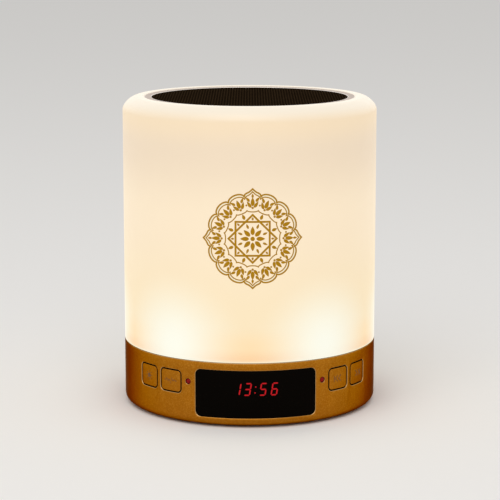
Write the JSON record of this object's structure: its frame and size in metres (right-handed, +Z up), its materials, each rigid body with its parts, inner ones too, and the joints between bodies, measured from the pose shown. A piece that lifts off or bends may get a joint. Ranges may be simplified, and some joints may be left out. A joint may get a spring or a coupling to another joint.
{
  "type": "speaker lamp",
  "caption": "Round touch lamp with a milky shade on a satin gold base, clock window and keys in front, speaker grille on top.",
  "frame": {"origin": "centre of the soles of the four feet, on the table", "axes": "+Z up along the lamp's axis, -Y out of the clock window, +X to the right of someone facing the window"},
  "size_m": [0.115, 0.115, 0.14],
  "materials": {
    "milky_shade": "smooth milky polycarbonate, lit from inside",
    "gold_paint": "fine satin metallic gold paint",
    "satin_silver": "satin turned",
    "black_grille": "black powder coat on perforated sheet",
    "black_gloss": "polished smoked acrylic",
    "red_lens": "polished",
    "black_plastic": "fine moulded grain",
    "white_plastic": "smooth moulded",
    "rubber": "matt",
    "paper_cone": "pressed black pulp",
    "foam": "open foam",
    "spider_cloth": "resin stiffened weave",
    "ferrite": "sintered, ground faces",
    "zinc_steel": "zinc plated",
    "copper": "enamelled winding",
    "green_board": "solder mask",
    "white_board": "white solder mask",
    "cell_sleeve": "shrunk film sleeve",
    "red_lead": "smooth",
    "grey_lead": "smooth"
  },
  "bodies": {
    "housing": {"shade": "milky_shade", "touch_ring": "satin_silver", "speaker_grille": "black_grille", "base_ring": "gold_paint", "bottom_cover": "black_plastic", "clock_window": "black_gloss", "clock_display": "black_plastic", "foot_1": "rubber", "foot_2": "rubber", "foot_3": "rubber", "foot_4": "rubber", "base_screw_1": "zinc_steel", "base_screw_2": "zinc_steel", "base_screw_3": "zinc_steel", "base_screw_4": "zinc_steel", "mode_switch": "zinc_steel", "effects_switch": "zinc_steel", "previous_switch": "zinc_steel", "next_switch": "zinc_steel", "left_indicator": "red_lens", "right_indicator": "red_lens", "left_key_board": "green_board", "right_key_board": "green_board", "chassis_plate": "white_plastic", "light_board": "white_board", "core_tube": "white_plastic", "speaker_ring": "white_plastic", "speaker_basket": "zinc_steel", "speaker_gasket": "foam", "speaker_surround": "rubber", "speaker_spider": "spider_cloth", "top_plate": "zinc_steel", "magnet": "ferrite", "yoke": "zinc_steel", "speaker_screw_1": "zinc_steel", "speaker_screw_2": "zinc_steel", "speaker_screw_3": "zinc_steel", "speaker_screw_4": "zinc_steel", "battery_holder": "black_plastic", "battery_cell": "cell_sleeve", "main_board": "green_board", "charge_socket": "zinc_steel", "card_socket": "zinc_steel", "sound_socket": "black_plastic", "power_switch": "zinc_steel", "speaker_lead": "red_lead", "touch_lead": "grey_lead", "battery_lead": "red_lead"},
    "mode_button": {"mode_key": "gold_paint", "mode_plunger": "black_plastic"},
    "effects_button": {"effects_key": "gold_paint", "effects_plunger": "black_plastic"},
    "previous_button": {"previous_key": "gold_paint", "previous_plunger": "black_plastic"},
    "next_button": {"next_key": "gold_paint", "next_plunger": "black_plastic"},
    "power_slider": {"power_knob": "black_plastic"},
    "cone": {"speaker_cone": "paper_cone", "dust_cap": "paper_cone", "voice_coil": "copper"}
  },
  "joints": [
    {"name": "mode_press", "type": "slide", "parent": "housing", "child": "mode_button", "axis": [0.8091, 0.5877, 0], "range_m": [0, 0.0006], "stiffness_N_per_m": 900},
    {"name": "effects_press", "type": "slide", "parent": "housing", "child": "effects_button", "axis": [0.6456, 0.7637, 0], "range_m": [0, 0.0006], "stiffness_N_per_m": 900},
    {"name": "previous_press", "type": "slide", "parent": "housing", "child": "previous_button", "axis": [-0.6456, 0.7637, 0], "range_m": [0, 0.0006], "stiffness_N_per_m": 900},
    {"name": "next_press", "type": "slide", "parent": "housing", "child": "next_button", "axis": [-0.8091, 0.5877, 0], "range_m": [0, 0.0006], "stiffness_N_per_m": 900},
    {"name": "power_slide", "type": "slide", "parent": "housing", "child": "power_slider", "axis": [1, 0, 0], "range_m": [-0.002, 0]},
    {"name": "cone_stroke", "type": "slide", "parent": "housing", "child": "cone", "axis": [0, 0, 1], "range_m": [-0.0015, 0.0015], "stiffness_N_per_m": 1500, "deforming": ["speaker_surround", "speaker_spider"]}
  ]
}
